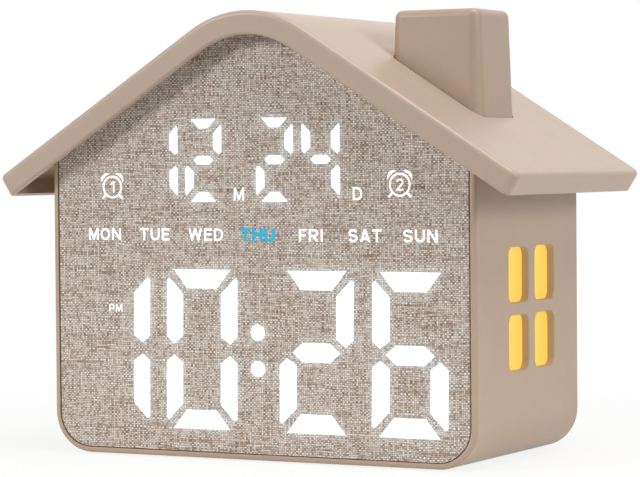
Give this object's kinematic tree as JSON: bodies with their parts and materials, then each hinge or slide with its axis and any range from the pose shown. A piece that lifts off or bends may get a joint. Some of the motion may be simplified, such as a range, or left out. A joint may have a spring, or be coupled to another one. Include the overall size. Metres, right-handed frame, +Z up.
{
  "type": "digital alarm clock",
  "caption": "House-shaped digital alarm clock with a pitched roof, chimney press key, cloth front over a segment display, lit side windows and rear setting keys.",
  "frame": {"origin": "on the table plane, under the middle of the roof's box", "axes": "+X to the right along the display, +Y to the back, +Z up"},
  "size_m": [0.1614, 0.0864, 0.124],
  "materials": {
    "house_plastic": "satin moulded beige",
    "roof_plastic": "satin moulded beige",
    "linen": "plain woven linen look cloth",
    "clear_sheet": "clear acrylic sheet",
    "white_plastic": "white moulded",
    "amber_pane": "translucent warm pane, lit",
    "lamp": "lamp package",
    "foot_rubber": "matte",
    "steel": "plated",
    "black_plastic": "moulded black",
    "circuit_board": "green solder mask",
    "lead_sleeve": "white sleeve",
    "key_plastic": "satin moulded, darker beige"
  },
  "bodies": {
    "clock": {"house_body": "house_plastic", "roof_shell": "roof_plastic", "rubber_feet": "foot_rubber", "fabric_face": "linen", "front_panel": "clear_sheet", "window_pane_right": "amber_pane", "window_pane_left": "amber_pane", "rear_cover": "house_plastic", "rear_screws": "steel", "usb_inlet": "steel", "diffuser_film": "white_plastic", "segment_reflector": "white_plastic", "display_board": "circuit_board", "display_leds": "lamp", "display_chips": "black_plastic", "display_screws": "steel", "window_light_box_right": "white_plastic", "window_light_box_left": "white_plastic", "window_board_right": "circuit_board", "window_board_left": "circuit_board", "window_lead_right": "lead_sleeve", "window_lead_left": "lead_sleeve", "window_leds": "lamp", "window_screws": "steel", "main_board": "circuit_board", "main_board_screws": "steel", "clock_chip": "black_plastic", "quartz_crystal": "steel", "supply_capacitors": "black_plastic", "speaker": "black_plastic", "backup_cell": "steel", "cell_holder": "black_plastic", "ribbon_sockets": "white_plastic", "ribbon_cable": "white_plastic", "key_switches": "black_plastic", "snooze_switch": "black_plastic", "snooze_board": "circuit_board", "snooze_screws": "steel", "snooze_lead": "lead_sleeve", "roof_screws": "steel"},
    "chimney": {"chimney_key": "roof_plastic", "snooze_plunger": "black_plastic"},
    "set_key": {"set_key": "key_plastic", "set_key_plunger": "black_plastic"},
    "alarm_key": {"alarm_key": "key_plastic", "alarm_key_plunger": "black_plastic"},
    "up_key": {"up_key": "key_plastic", "up_key_plunger": "black_plastic"},
    "down_key": {"down_key": "key_plastic", "down_key_plunger": "black_plastic"},
    "light_key": {"light_key": "key_plastic", "light_key_plunger": "black_plastic"},
    "battery_cap": {"battery_cap": "house_plastic"}
  },
  "joints": [
    {"name": "chimney_press", "type": "slide", "parent": "clock", "child": "chimney", "axis": [0, 0, -1], "range_m": [0, 0.0012], "stiffness_N_per_m": 1500},
    {"name": "set_key_press", "type": "slide", "parent": "clock", "child": "set_key", "axis": [0, -1, 0], "range_m": [0, 0.0006], "stiffness_N_per_m": 2500},
    {"name": "alarm_key_press", "type": "slide", "parent": "clock", "child": "alarm_key", "axis": [0, -1, 0], "range_m": [0, 0.0006], "stiffness_N_per_m": 2500},
    {"name": "up_key_press", "type": "slide", "parent": "clock", "child": "up_key", "axis": [0, -1, 0], "range_m": [0, 0.0006], "stiffness_N_per_m": 2500},
    {"name": "down_key_press", "type": "slide", "parent": "clock", "child": "down_key", "axis": [0, -1, 0], "range_m": [0, 0.0006], "stiffness_N_per_m": 2500},
    {"name": "light_key_press", "type": "slide", "parent": "clock", "child": "light_key", "axis": [0, -1, 0], "range_m": [0, 0.0006], "stiffness_N_per_m": 2500},
    {"name": "battery_cap_turn", "type": "hinge", "parent": "clock", "child": "battery_cap", "pos_m": [-0.026, 0.0305, 0.03], "axis": [0, 1, 0], "range_deg": [0, 60]}
  ]
}
